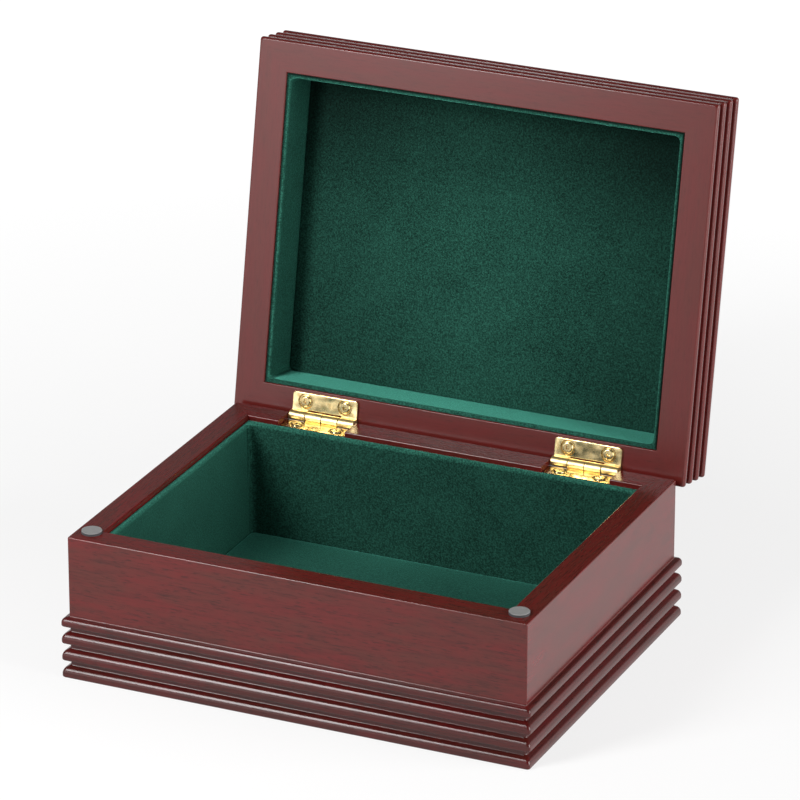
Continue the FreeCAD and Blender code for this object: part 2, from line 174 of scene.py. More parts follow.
class VelvetSettings(bpy.types.PropertyGroup):
    """Sizes and colours of the velvet covered cards, and the painted light and shade of their pile."""
    base_card: length("Base card", "Thickness of the cards in the base", 2.0)
    lid_card: length("Lid card", "Thickness of the cards in the lid", 1.8)
    lid_drop: length("Lid card drop", "From the lid's face to the edge of its cards", 0.5)
    lid_pad: length("Lid pad", "Thickness of the pad in the lid", 2.0)
    floor_pad_edge: length("Floor pad edge", "Rounding of the floor pad's edge", 1.2)
    lid_pad_edge: length("Lid pad edge", "Rounding of the lid pad's edge", 0.8)
    pad_corner: length("Pad corner", "How much rounder a pad's corners are than those of the cards", 0.2)
    rolled_edge: length("Rolled edge", "Rounding of the velvet over a base card's inner edge", 1.1)
    lid_rolled_edge: length("Lid rolled edge", "Rounding of the velvet over a lid card's inner edge", 0.7)
    back_edge: length("Back edge", "Rounding of the velvet over a card's outer edge", 0.7)
    inner_corner: length("Inner corner", "Rounding of the velvet in the corners", 2.2)
    crown: length("Crown", "How much the pads swell in the middle", 0.7)
    # The next ten settings paint light and shade into the velvet's colour: painted highlights along the rolled edges,
    # on the lap and over the left cards, a painted shadow where a card meets the wood, painted shade at the ends of
    # the lid's rear card and at the sides of the lid's pad, a painted shadow at the pad's far edge, and a little
    # painted light over the whole pad.
    open_pile: length("Open pile", "How far past a rolled edge the pile stands open", 0.7)
    edge_lie: share("Edge lie", "How much paler the pile is along a base card's rolled edge", 0.9)
    lid_edge_lie: share("Lid edge lie", "How much paler the pile is along a lid card's rolled edge", 0.9)
    left_lie: share("Left lie", "How much paler the pile is on the left cards", 0.16)
    end_lie: share("End lie", "How much darker the pile of the lid's rear card is at its ends", 0.7)
    gap_lie: share("Gap lie", "How much darker the pile is where a card meets the wood", 0.75)
    lap_lie: share("Lap lie", "How much paler the pile is on the lap of the velvet", 1.2)
    pad_lie: share("Pad lie", "How much paler the pile of the lid's pad is in the middle", 0.2)
    top_lie: share("Top lie", "How much darker the pile of the lid's pad is at its far edge", 0.62)
    side_lie: share("Side lie", "How much darker the pile of the lid's pad is at its sides", 0.34)
    lap_from_corner: length("Lap", "From the left card's rear corner to the lap of its velvet", 5.0)
    lap_thick: length("Lap thickness", "How far the velvet stands out at its lap", 0.65)
    deep: colour("Deep pile", "Pile seen end on", "#0B251E")
    lit: colour("Lit pile", "Pile seen from the side", "#2F6758")
    tuft: length("Tuft", "Width of a tuft of pile, drawn coarse enough to show", 0.65)
    nap: length("Nap", "Width of a patch brushed one way", 22.0)


class BrassSettings(bpy.types.PropertyGroup):
    """Sizes and colour of the hinges and screws."""
    width: length("Hinge width", "Along the pin", 28.4)
    reach: length("Leaf reach", "From the pin to the leaf's edge", 9.35)
    leaf: length("Leaf thickness", "Thickness of the sheet", 1.1)
    leaf_corner: length("Leaf corner", "Rounding of the leaf's corners", 1.2)
    knuckle: length("Knuckle radius", "Outer radius of the rolled knuckles", 2.1)
    seat: length("Leaf seat", "From the pin's middle to the leaf's seat", 2.35)
    gap: length("Knuckle gap", "Between two knuckles", 0.2)
    edge: length("Edge rounding", "Polished rounding of the edges", 0.3)
    knuckle_fade: length("Knuckle fade", "Over which the rolled finish turns into the polished one", 0.4)
    roll: angle("Roll", "How far the sheet is rolled round the pin", 288.0)
    screw_spacing: length("Screw spacing", "Between the two screws of a leaf", 17.2)
    screw_edge: length("Screw edge", "From the leaf's edge to its screws", 3.4)
    sink: length("Screw sink", "How deep a head is let into the leaf", 0.5)
    dimple: length("Dimple radius", "Radius of the dished rim of a screw hole", 3.2)
    head_gap: length("Head gap", "Between a screw's head and the foot of its dish", 0.4)
    head_radius: length("Head radius", "Radius of a screw's head", 2.3)
    head_height: length("Head height", "Height of a screw's head", 1.0)
    head_round: length("Head rounding", "Rounding of a screw's head", 0.6)
    shank_radius: length("Shank radius", "Radius of a screw's shank", 1.1)
    hole_gap: length("Hole gap", "Room round a screw's shank in its hole", 0.1)
    shank_length: length("Shank length", "Length of a screw under its head", 9.0)
    shank_point: length("Shank point", "Length of a screw's point", 2.0)
    recess_width: length("Recess width", "Width of a wing of the cross recess", 0.75)
    recess_length: length("Recess length", "Length of the cross recess", 2.7)
    recess_depth: length("Recess depth", "Depth of the cross recess", 0.6)
    recess_turn: angle("Recess turn", "Turn of the cross recess in its head", 20.0)
    pin_edge: length("Pin edge", "Rounding of a pin's ends", 0.25)
    mottle: length("Mottle", "Width of a dull spot, drawn coarse enough to show", 2.4)
    wave: length("Wave", "Width of a wave in the polished sheet", 7.0)
    colour: colour("Brass", "Polished brass plate", "#EBD59E")
    tarnish: colour("Tarnish", "Thin spots of the plate", "#C09A55")


class RubberSettings(bpy.types.PropertyGroup):
    """Shape and colour of the bumpers."""
    rounding: length("Rounding", "Rounding of a bumper's upper edge", 0.3)
    lip: length("Lip", "Width of a bumper's moulded lip", 0.7)
    step: length("Step", "Width of the step from the lip to the face", 0.2)
    dish: length("Dish", "How far the face lies under the lip", 0.06)
    bloom: length("Bloom", "Width of a dusty spot, drawn coarse enough to show", 1.2)
    colour: colour("Rubber", "Grey rubber", "#858585")
    worn: colour("Worn rubber", "Dusty places on the rubber", "#979796")
    # Colour of the bumper's side, darker than its face.
    side: colour("Rubber side", "Cut side of a bumper", "#47474A")


class HiddenSettings(bpy.types.PropertyGroup):
    """Sizes and colours of the underside and of the board in it."""
    felt_edge: length("Felt edge", "Rounding of the felt's lower edge", 0.4)
    fibre: length("Fibre", "Width of a tangle of fibres, drawn coarse enough to show", 1.1)
    ply_length: length("Plywood grain length", "Length of a streak along the face ply", 70.0)
    ply_width: length("Plywood grain width", "Width of a streak across the face ply", 3.0)
    ply_depth: length("Plywood grain depth", "Depth of a streak in the plies", 1.2)
    felt: colour("Felt", "Felt under the box", "#12382C")
    felt_fibre: colour("Felt fibre", "Lighter fibres of the felt", "#2B5A49")
    ply: colour("Plywood", "Face ply of the bottom board", "#C7A778")
    ply_dark: colour("Plywood grain", "Dark grain of the face ply", "#9A774A")


class StageSettings(bpy.types.PropertyGroup):
    """Camera, lamps and floor."""
    lens: bpy.props.FloatProperty(name="Lens", description="Focal length in mm", default=254.59)
    camera_at: location("Camera", "Place of the camera", (0.83118, -1.80726, 0.93243))
    camera_turn: bpy.props.FloatVectorProperty(
        name="Camera turn", description="Turns of the camera about X, Y and Z, in the order ZYX",
        default=[math.radians(a) for a in (65.398, 22.436, 9.929)], subtype="EULER")
    key_at: location("Key place", "Place of the key softbox", (-0.32, -0.574, 0.511))
    key_size: extent("Key size", "Sides of the key softbox", (0.2, 0.46))
    key_power: watts("Key power", "Power of the key softbox", 5.0)
    fill_at: location("Fill place", "Place of the right softbox", (1.3, 0.1, 0.4))
    fill_size: extent("Fill size", "Sides of the right softbox", (0.9, 0.9))
    fill_power: watts("Fill power", "Power of the right softbox", 17.0)
    front_at: location("Front place", "Place of the front softbox", (-0.92, -1.72, 0.29))
    front_size: extent("Front size", "Sides of the front softbox", (0.5, 0.5))
    front_power: watts("Front power", "Power of the front softbox", 1.2)
    aim: length("Aim", "Height that the softboxes point at", 60)
    floor: length("Floor", "Side of the floor", 12000)
    paper: colour("Paper", "White paper as it lights the box", "#DADADA")
    paper_shade: colour("Paper shade", "What the paper adds to its glow where lamps reach it", "#8C8C8C")
    glow: share("Glow", "Strength of the paper's glow at the box", 0.76)
    glow_near: length("Glow near", "From the middle to where the glow starts to rise", 200)
    glow_far: length("Glow far", "From the middle to where the glow is white", 800)
    white: colour("White", "Colour of the background and the surround", "#FFFFFF")
    sky: bpy.props.FloatProperty(name="Surround", description="Strength of the surround", default=0.15)
    horizon: share("Horizon", "Rise above the floor, as a sine, up to which the background is white", 0.12)
    dome: share("Dome", "Rise, as a sine, from which the background is as dark as the surround", 0.35)


def add_node(tree, kind, settings=None, sockets=None):
    """Adds a node, gives it its settings, and fills its sockets or links them."""
    node = tree.nodes.new(kind)
    for name, value in (settings or {}).items():
        setattr(node, name, value)
    for name, value in (sockets or {}).items():
        if isinstance(value, bpy.types.NodeSocket):
            tree.links.new(value, node.inputs[name])
        else:
            node.inputs[name].default_value = value
    return node


def new_material(name):
    """A material, its node tree, and in it the only node yet, which gives a point's place on the piece."""
    material = bpy.data.materials.new(name)
    material.use_nodes = True
    material.node_tree.nodes.clear()
    place = add_node(material.node_tree, "ShaderNodeTexCoord").outputs["Object"]
    return material, material.node_tree, place


def lacquered_mahogany(name, show, foot, turn=(0, 0, 0), shift=(0, 0, 0)):
    """Mahogany, stained red brown and sprayed with satin lacquer.

    The eye gets short soft streaks along the board, red and brown patches, filled pores, and a blurred sheen
    over them. Show is how strongly the figure comes through the stain. Below the height foot lies a dark toner.
    """
    wood = bpy.context.scene.keepsake_wood
    material, tree, place = new_material(name)
    board = add_node(tree, "ShaderNodeMapping", sockets={"Vector": place, "Rotation": turn, "Location": shift})
    across = {}
    for part, long, wide in (("grain", wood.grain_length, wood.grain_width),
                             ("figure", wood.figure_length, wood.figure_width),
                             ("pore", wood.pore_length, wood.pore_width)):
        scaled = add_node(tree, "ShaderNodeMapping", sockets={
            "Vector": board.outputs[0], "Scale": (1 / long, 1 / wide, 1 / wide)})
        across[part] = scaled.outputs[0]
    figure = add_node(tree, "ShaderNodeTexNoise", sockets={
        "Vector": across["figure"], "Scale": 1.0, "Detail": 3.0, "Roughness": 0.5, "Distortion": 0.6})
    grain = add_node(tree, "ShaderNodeTexNoise", sockets={
        "Vector": across["grain"], "Scale": 1.0, "Detail": 5.0, "Roughness": 0.62, "Distortion": 0.5})
    pores = add_node(tree, "ShaderNodeTexNoise", sockets={
        "Vector": across["pore"], "Scale": 1.0, "Detail": 2.0, "Roughness": 0.5})
    patch = add_node(tree, "ShaderNodeMapRange", sockets={
        "Value": figure.outputs[0], "From Min": 0.36, "From Max": 0.64,
        "To Min": 0.5 - 0.5 * show, "To Max": 0.5 + 0.5 * show})
    streak = add_node(tree, "ShaderNodeMapRange", sockets={
        "Value": grain.outputs[0], "From Min": 0.46, "From Max": 0.70, "To Max": 0.6 * show})
    speck = add_node(tree, "ShaderNodeMapRange", sockets={
        "Value": pores.outputs[0], "From Min": 0.56, "From Max": 0.70, "To Max": 0.6 * show})
    ground = add_node(tree, "ShaderNodeMix", {"data_type": "RGBA"}, {
        0: patch.outputs[0], 6: wood.brown, 7: wood.red})
    streaked = add_node(tree, "ShaderNodeMix", {"data_type": "RGBA"}, {
        0: streak.outputs[0], 6: ground.outputs[2], 7: wood.dark})
    pored = add_node(tree, "ShaderNodeMix", {"data_type": "RGBA"}, {
        0: speck.outputs[0], 6: streaked.outputs[2], 7: wood.pore})
    height = add_node(tree, "ShaderNodeSeparateXYZ", sockets={0: place})
    low = add_node(tree, "ShaderNodeMapRange", sockets={
        "Value": height.outputs["Z"], "From Min": foot - wood.toner_below, "From Max": foot + wood.toner_above,
        "To Min": 1.0, "To Max": 0.0})
    toned = add_node(tree, "ShaderNodeMix", {"data_type": "RGBA", "blend_type": "MULTIPLY"}, {
        0: low.outputs[0], 6: pored.outputs[2], 7: wood.toner})
    sheen = add_node(tree, "ShaderNodeMapRange", sockets={
        "Value": grain.outputs[0], "To Min": 0.2, "To Max": 0.24})
    bump = add_node(tree, "ShaderNodeBump", sockets={
        "Height": grain.outputs[0], "Strength": 0.03, "Distance": 0.05 * MM})
    shader = add_node(tree, "ShaderNodeBsdfPrincipled", sockets={
        "Base Color": toned.outputs[2], "Roughness": sheen.outputs[0], "Normal": bump.outputs[0],
        "IOR": 1.46})
    add_node(tree, "ShaderNodeOutputMaterial", sockets={"Surface": shader.outputs[0]})
    return material


def cotton_velvet():
    """Cotton velvet, cut pile stretched over card.

    The eye gets a dark green with a fine speckle, which turns pale along every edge and where light rakes the pile,
    partly by its sheen and partly by painted highlights. A vertex attribute scales the colour with painted light and
    shade: painted highlights along the rolled edges and the lap, a painted shadow where a card meets the wood, and
    painted shade towards the ends and edges of the lid's lining.
    """
    velvet = bpy.context.scene.keepsake_velvet
    material, tree, place = new_material("cotton_velvet")
    tufts = add_node(tree, "ShaderNodeTexNoise", sockets={
        "Vector": place, "Scale": 1 / velvet.tuft, "Detail": 3.0, "Roughness": 0.72})
    nap = add_node(tree, "ShaderNodeTexNoise", sockets={
        "Vector": place, "Scale": 1 / velvet.nap, "Detail": 3.0, "Roughness": 0.55, "Distortion": 0.4})
    speckle = add_node(tree, "ShaderNodeMapRange", sockets={
        "Value": tufts.outputs[0], "From Min": 0.40, "From Max": 0.67})
    brushed = add_node(tree, "ShaderNodeMapRange", sockets={
        "Value": nap.outputs[0], "From Min": 0.3, "From Max": 0.7, "To Min": 0.2, "To Max": 0.8})
    mixed = add_node(tree, "ShaderNodeMix", {"data_type": "FLOAT"}, {
        0: 0.25, 2: speckle.outputs[0], 3: brushed.outputs[0]})
    # Painted light and shade, stored per vertex, scale the pile's colour up or down.
    lie = add_node(tree, "ShaderNodeAttribute", {"attribute_name": "pile_lie"})
    pile = add_node(tree, "ShaderNodeMix", {"data_type": "RGBA"}, {
        0: mixed.outputs[0], 6: velvet.deep, 7: velvet.lit})
    painted_light_factor = add_node(tree, "ShaderNodeMath", {"operation": "ADD"}, {0: lie.outputs["Fac"], 1: 1.0})
    pile_with_painted_light = add_node(tree, "ShaderNodeVectorMath", {"operation": "SCALE"}, {
        0: pile.outputs[2], "Scale": painted_light_factor.outputs[0]})
    bump = add_node(tree, "ShaderNodeBump", sockets={
        "Height": tufts.outputs[0], "Strength": 0.4, "Distance": 0.3 * MM})
    shader = add_node(tree, "ShaderNodeBsdfPrincipled", sockets={
        "Base Color": pile_with_painted_light.outputs[0], "Roughness": 0.95, "Normal": bump.outputs[0],
        "Specular IOR Level": 0.1, "Sheen Weight": 1.0, "Sheen Roughness": 0.35,
        "Sheen Tint": linear("#7CF9DD")})
    add_node(tree, "ShaderNodeOutputMaterial", sockets={"Surface": shader.outputs[0]})
    return material


def polished_brass():
    """Brass plated steel, stamped, rolled and polished.

    The eye gets a mirror that is not quite flat: gold and dark reflections that swim, thin dull spots, and
    rolled knuckles that are less polished than the leaves.
    """
    brass = bpy.context.scene.keepsake_brass
    material, tree, place = new_material("polished_brass")
    mottle = add_node(tree, "ShaderNodeTexNoise", sockets={
        "Vector": place, "Scale": 1 / brass.mottle, "Detail": 2.0, "Roughness": 0.5})
    wave = add_node(tree, "ShaderNodeTexNoise", sockets={
        "Vector": place, "Scale": 1 / brass.wave, "Detail": 1.0})
    dull = add_node(tree, "ShaderNodeMapRange", sockets={
        "Value": mottle.outputs[0], "From Min": 0.5, "From Max": 0.75, "To Max": 0.5})
    plate = add_node(tree, "ShaderNodeMix", {"data_type": "RGBA"}, {
        0: dull.outputs[0], 6: brass.colour, 7: brass.tarnish})
    polish = add_node(tree, "ShaderNodeMapRange", sockets={
        "Value": mottle.outputs[0], "From Min": 0.3, "From Max": 0.7, "To Min": 0.15, "To Max": 0.25})
    from_pin = add_node(tree, "ShaderNodeVectorMath", {"operation": "MULTIPLY_ADD"}, {
        0: place, 1: (0, 1, 1), 2: (0, -AXIS.y, -AXIS.z)})
    radius = add_node(tree, "ShaderNodeVectorMath", {"operation": "LENGTH"}, {0: from_pin.outputs[0]})
    rolled = add_node(tree, "ShaderNodeMapRange", sockets={
        "Value": radius.outputs["Value"], "From Min": brass.knuckle, "From Max": brass.knuckle + brass.knuckle_fade,
        "To Min": 0.4, "To Max": polish.outputs[0]})
    uneven = add_node(tree, "ShaderNodeBump", sockets={
        "Height": wave.outputs[0], "Strength": 1.0, "Distance": 0.3 * MM})
    bump = add_node(tree, "ShaderNodeBump", sockets={
        "Height": mottle.outputs[0], "Strength": 0.08, "Distance": 0.05 * MM, "Normal": uneven.outputs[0]})
    shader = add_node(tree, "ShaderNodeBsdfPrincipled", sockets={
        "Base Color": plate.outputs[2], "Metallic": 1.0, "Roughness": rolled.outputs[0], "Normal": bump.outputs[0]})
    add_node(tree, "ShaderNodeOutputMaterial", sockets={"Surface": shader.outputs[0]})
    return material


def moulded_rubber():
    """Grey rubber, moulded as a disc with a matt face.

    The eye gets a soft grey with a dusty bloom on the face, and a darker side.
    """
    rubber = bpy.context.scene.keepsake_rubber
    material, tree, place = new_material("moulded_rubber")
    bloom = add_node(tree, "ShaderNodeTexNoise", sockets={
        "Vector": place, "Scale": 1 / rubber.bloom, "Detail": 4.0, "Roughness": 0.65})
    dusty = add_node(tree, "ShaderNodeMix", {"data_type": "RGBA"}, {
        0: bloom.outputs[0], 6: rubber.colour, 7: rubber.worn})
    height = add_node(tree, "ShaderNodeSeparateXYZ", sockets={0: place})
    faced = add_node(tree, "ShaderNodeMapRange", sockets={
        "Value": height.outputs["Z"], "From Min": BUMPER_HIGH.z - rubber.rounding,
        "From Max": BUMPER_HIGH.z - 0.4 * rubber.rounding})
    # Below the rounding the bumper takes the darker side colour.
    darker_side = add_node(tree, "ShaderNodeMix", {"data_type": "RGBA"}, {
        0: faced.outputs[0], 6: rubber.side, 7: dusty.outputs[2]})
    bump = add_node(tree, "ShaderNodeBump", sockets={
        "Height": bloom.outputs[0], "Strength": 0.2, "Distance": 0.05 * MM})
    shader = add_node(tree, "ShaderNodeBsdfPrincipled", sockets={
        "Base Color": darker_side.outputs[2], "Roughness": 0.6, "Normal": bump.outputs[0], "IOR": 1.52})
    add_node(tree, "ShaderNodeOutputMaterial", sockets={"Surface": shader.outputs[0]})
    return material


def pressed_felt():
    """Wool felt, pressed and glued under the box.

    The eye gets a dull green with short lighter fibres lying every way.
    """
    hidden = bpy.context.scene.keepsake_hidden
    material, tree, place = new_material("pressed_felt")
    fibres = add_node(tree, "ShaderNodeTexNoise", sockets={
        "Vector": place, "Scale": 1 / hidden.fibre, "Detail": 4.0, "Roughness": 0.7, "Distortion": 2.5})
    fibre = add_node(tree, "ShaderNodeMapRange", sockets={
        "Value": fibres.outputs[0], "From Min": 0.45, "From Max": 0.75})
    wool = add_node(tree, "ShaderNodeMix", {"data_type": "RGBA"}, {
        0: fibre.outputs[0], 6: hidden.felt, 7: hidden.felt_fibre})
    bump = add_node(tree, "ShaderNodeBump", sockets={
        "Height": fibres.outputs[0], "Strength": 0.6, "Distance": 0.2 * MM})
    shader = add_node(tree, "ShaderNodeBsdfPrincipled", sockets={
        "Base Color": wool.outputs[2], "Roughness": 0.95, "Normal": bump.outputs[0],
        "Specular IOR Level": 0.15, "Sheen Weight": 0.2, "Sheen Roughness": 0.6})
    add_node(tree, "ShaderNodeOutputMaterial", sockets={"Surface": shader.outputs[0]})
    return material


def birch_plywood():
    """Birch plywood, sanded and left bare inside the box.

    The eye gets a pale wood with thin brown grain along the face ply.
    """
    hidden = bpy.context.scene.keepsake_hidden
    material, tree, place = new_material("birch_plywood")
    along = add_node(tree, "ShaderNodeMapping", sockets={
        "Vector": place, "Scale": (1 / hidden.ply_length, 1 / hidden.ply_width, 1 / hidden.ply_depth)})
    grain = add_node(tree, "ShaderNodeTexNoise", sockets={
        "Vector": along.outputs[0], "Scale": 1.0, "Detail": 4.0, "Distortion": 0.4})
    ply = add_node(tree, "ShaderNodeMix", {"data_type": "RGBA"}, {
        0: grain.outputs[0], 6: hidden.ply, 7: hidden.ply_dark})
    bump = add_node(tree, "ShaderNodeBump", sockets={
        "Height": grain.outputs[0], "Strength": 0.2, "Distance": 0.05 * MM})
    shader = add_node(tree, "ShaderNodeBsdfPrincipled", sockets={
        "Base Color": ply.outputs[2], "Roughness": 0.7, "Normal": bump.outputs[0]})
    add_node(tree, "ShaderNodeOutputMaterial", sockets={"Surface": shader.outputs[0]})
    return material


def shared(maker):
    """The material of a maker's name, made at its first use."""
    return bpy.data.materials.get(maker.__name__) or maker()


def clear_selection():
    """Leaves edit mode and deselects everything."""
    if bpy.context.object and bpy.context.object.mode != "OBJECT":
        bpy.ops.object.mode_set(mode="OBJECT")
    bpy.ops.object.select_all(action="DESELECT")


def only(piece):
    """Makes a piece the one thing that the next operator acts on."""
    clear_selection()
    piece.select_set(True)
    bpy.context.view_layer.objects.active = piece


def settle():
    """Applies the active piece's place, turn and scale to its mesh."""
    bpy.ops.object.transform_apply(location=True, rotation=True, scale=True)
    return bpy.context.object


def cube(low, high):
    """A cube shaped to a box, ready for more work."""
    low, high = Vector(low), Vector(high)
    clear_selection()
    bpy.ops.mesh.primitive_cube_add(size=1, location=(low + high) / 2)
    bpy.context.object.scale = high - low
    return settle()


def turned(sides, radius, depth, at, far_radius=None, rotation=(0, 0, 0)):
    """A round bar, or a cone if its far end has a radius of its own, ready for more work."""
    clear_selection()
    bpy.ops.mesh.primitive_cone_add(
        vertices=sides, radius1=radius, radius2=radius if far_radius is None else far_radius, depth=depth,
        location=at, rotation=rotation)
    return settle()


def pick(piece, kind, test):
    """Opens a piece's mesh and selects only the vertices, edges or faces that pass a test."""
    if piece.mode != "EDIT":
        only(piece)
        bpy.ops.object.mode_set(mode="EDIT")
    bpy.ops.mesh.select_mode(type=kind)
    bpy.ops.mesh.select_all(action="DESELECT")
    mesh = bmesh.from_edit_mesh(piece.data)
    parts = {"VERT": mesh.verts, "EDGE": mesh.edges, "FACE": mesh.faces}[kind]
    chosen = [part for part in parts if test(part)]
    if not chosen:
        raise RuntimeError(f"nothing to pick on {piece.name}")
    for part in chosen:
        part.select_set(True)
    mesh.select_flush_mode()
    bmesh.update_edit_mesh(piece.data)


def middle(part):
    """Middle of an edge or a face."""
    return sum((v.co for v in part.verts), Vector()) / len(part.verts)


def ramp(value, low, high):
    """Smooth rise from 0 at a low value to 1 at a high one."""
    t = min(1, max(0, (value - low) / (high - low)))
    return t * t * (3 - 2 * t)


def near(a, b):
    return abs(a - b) < TOUCH


def level_at(edge, height):
    """Whether an edge lies level at a height."""
    return all(near(v.co.z, height) for v in edge.verts)


def upright(edge):
    """Whether an edge rises."""
    return not near(edge.verts[0].co.z, edge.verts[1].co.z)


def round_edges(size, steps):
    """Rounds the selected edges, or those of the selected faces."""
    bpy.ops.mesh.bevel(affect="EDGES", offset=size, segments=steps, profile=0.5)


def close_up(piece):
    """Merges the doubles of a spun mesh and turns its faces outwards."""
    pick(piece, "FACE", lambda f: True)
    bpy.ops.mesh.remove_doubles(threshold=MERGE)
    bpy.ops.mesh.normals_make_consistent(inside=False)


def cut(piece, point, normal, keep_below=False):
    """Bisects a piece, and with keep_below caps it and drops what lies on the normal's side."""
    pick(piece, "FACE", lambda face: True)
    bpy.ops.mesh.bisect(plane_co=point, plane_no=normal, use_fill=keep_below, clear_outer=keep_below, threshold=MERGE)


def apply_modifier(piece, kind, **settings):
    """Adds a modifier and applies it."""
    only(piece)
    modifier = piece.modifiers.new(kind.lower(), kind)
    for name, value in settings.items():
        setattr(modifier, name, value)
    bpy.ops.object.modifier_apply(modifier=modifier.name)


def take_out(piece, cutter):
    """Cuts one piece's shape out of another, and discards the cutter."""
    apply_modifier(piece, "BOOLEAN", operation="DIFFERENCE", solver="EXACT", object=cutter)
    bpy.data.objects.remove(cutter)


def copy_of(piece):
    """A copy of a piece with its own mesh."""
    twin = piece.copy()
    twin.data = piece.data.copy()
    bpy.context.collection.objects.link(twin)
    return twin


def put(piece, matrix):
    """Moves a piece and leaves its object at the origin, unturned."""
    only(piece)
    piece.matrix_world = matrix
    settle()


def swung_open():
    """The turn about the pin from the shut box to the open one."""
    turn = Matrix.Rotation(-bpy.context.scene.keepsake_wood.open_angle, 4, "X")
    return Matrix.Translation(AXIS) @ turn @ Matrix.Translation(-AXIS)


def stand_for(piece, name, node, body, material):
    """Finishes a piece: its name, shading and material, and the CAD node that it stands for."""
    only(piece)
    piece.name = name
    piece.data.name = name
    bpy.ops.object.shade_smooth_by_angle(angle=SMOOTH_ANGLE)
    apply_modifier(piece, "WEIGHTED_NORMAL", keep_sharp=True)
    piece.data.materials.clear()
    piece.data.materials.append(material)
    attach(piece, body)
    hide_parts(node)


def mitred_ring(half_x, half_y, section, rounds):
    """Draws a section at one corner, spins it round four corners and stretches it to a rectangle.

    The section is (out, up) points, out from the two half sizes. Rounds gives some of them (size, steps).
    """
    clear_selection()
    bpy.ops.mesh.primitive_plane_add(size=MM, location=(0, 0, 0))
    ring = bpy.context.object
    pick(ring, "VERT", lambda v: v.index > 0)
    bpy.ops.mesh.delete(type="VERT")
    points = [Vector((half_y + out, half_y + out, up)) for out, up in section]
    pick(ring, "VERT", lambda v: True)
    start = bmesh.from_edit_mesh(ring.data).verts[:][0].co.copy()
    bpy.ops.transform.translate(value=points[0] - start)
    for here, there in zip(points, points[1:]):
        bpy.ops.mesh.extrude_region_move(TRANSFORM_OT_translate={"value": there - here})
    pick(ring, "EDGE", lambda e: True)
    bpy.ops.mesh.edge_face_add()
    for size, steps in sorted(set(rounds.values())):
        spots = [points[i] for i, spot in enumerate(section) if rounds.get(spot) == (size, steps)]
        pick(ring, "VERT", lambda v: any((v.co - spot).length < TOUCH for spot in spots))
        bpy.ops.mesh.bevel(affect="VERTICES", offset=size, segments=steps, profile=0.5)
    pick(ring, "FACE", lambda f: True)
    bpy.ops.mesh.delete(type="ONLY_FACE")
    pick(ring, "EDGE", lambda e: True)
    bpy.ops.mesh.spin(steps=4, angle=2 * math.pi, center=(0, 0, 0), axis=(0, 0, 1))
    close_up(ring)
    for side in (-1, 1):
        pick(ring, "VERT", lambda v: v.co.x * side > 0)
        bpy.ops.transform.translate(value=(side * (half_x - half_y), 0, 0))
    return ring


def on_mitre(edge, half_x, half_y, low, high):
    """Whether an edge follows a mitre, from low to high out of the half sizes."""
    first, last = (v.co for v in edge.verts)
    if first.x * last.x < 0 or first.y * last.y < 0:
        return False
    for v in edge.verts:
        out = abs(v.co.x) - half_x
        if not near(out, abs(v.co.y) - half_y) or not low - TOUCH < out < high + TOUCH:
            return False
    return True


def mitred_boards(ring, half_x, half_y):
    """Saws a ring into four boards at its mitres. Gives them by side."""
    boards = {}
    only(ring)
    for side, (x, y) in SIDES.items():
        board = copy_of(ring)
        for way in (-1, 1):
            along = Vector((-y * way, x * way, 0))
            outward = Vector((x, y, 0))
            corner = Vector(((outward.x + along.x) * half_x, (outward.y + along.y) * half_y, 0))
            cut(board, corner, (along - outward).normalized(), keep_below=True)
        bpy.ops.object.mode_set(mode="OBJECT")
        boards[side] = board
    bpy.data.objects.remove(ring)
    return boards


def rib_line(start, kind):
    """Outline of the ribs of one kind upwards from a height, and how each of its corners is rounded."""
    wood = bpy.context.scene.keepsake_wood
    pitch, root, groove, tip, low, high = (
        getattr(wood, f"{kind}_{part}") for part in ("pitch", "root", "groove", "tip", "low", "high"))
    line, rounds = [], {}
    for i in range(wood.rib_count):
        foot = start + i * pitch
        if i:
            line.append((0.0, foot))
        top = foot + (root if i == wood.rib_count - 1 else groove)
        line += [(wood.rib_reach, foot), (wood.rib_reach, foot + tip), (0.0, top)]
        rounds[line[-3]] = (low, 6)
        rounds[line[-2]] = (high, 6)
        rounds[line[-1]] = (wood.root_fillet, 3)
    return line, rounds


def soften_corners(ring, on_corner, on_ribs):
    """Rounds the outer edges of a ring's corners: full on its ribs, and less on its plain walls."""
    wood = bpy.context.scene.keepsake_wood
    for weight, test in ((1.0, on_ribs), (wood.wall_corner, lambda e: not on_ribs(e))):
        pick(ring, "EDGE", lambda e: on_corner(e) and test(e))
        bpy.ops.transform.edge_bevelweight(value=weight)
    apply_modifier(ring, "BEVEL", limit_method="WEIGHT", width=wood.corner_round, segments=4,
                   use_clamp_overlap=False)


def board_materials(prefix, tilt, show, foot):
    """The stained wood for boards along the box and for boards across it."""
    along = lacquered_mahogany(f"lacquered_mahogany_{prefix}_along", show, foot)
    across = lacquered_mahogany(
        f"lacquered_mahogany_{prefix}_across", show, foot, (tilt, 0, math.radians(-90)), ACROSS_SHIFT)
    return {"front": along, "back": along, "left": across, "right": across}


def screw_spots():
    """Where the screws of the two hinges stand, seen from above with the box shut."""
    brass = bpy.context.scene.keepsake_brass
    y = AXIS.y - brass.reach + brass.screw_edge
    return [(side * HINGE_X + way * brass.screw_spacing / 2, y) for side in (-1, 1) for way in (-1, 1)]


def drill(piece, bottom, top):
    """Pilot holes for the screws of both hinges."""
    brass = bpy.context.scene.keepsake_brass
    for x, y in screw_spots():
        bit = turned(24, brass.shank_radius + brass.hole_gap, top - bottom, (x, y, (top + bottom) / 2))
        take_out(piece, bit)


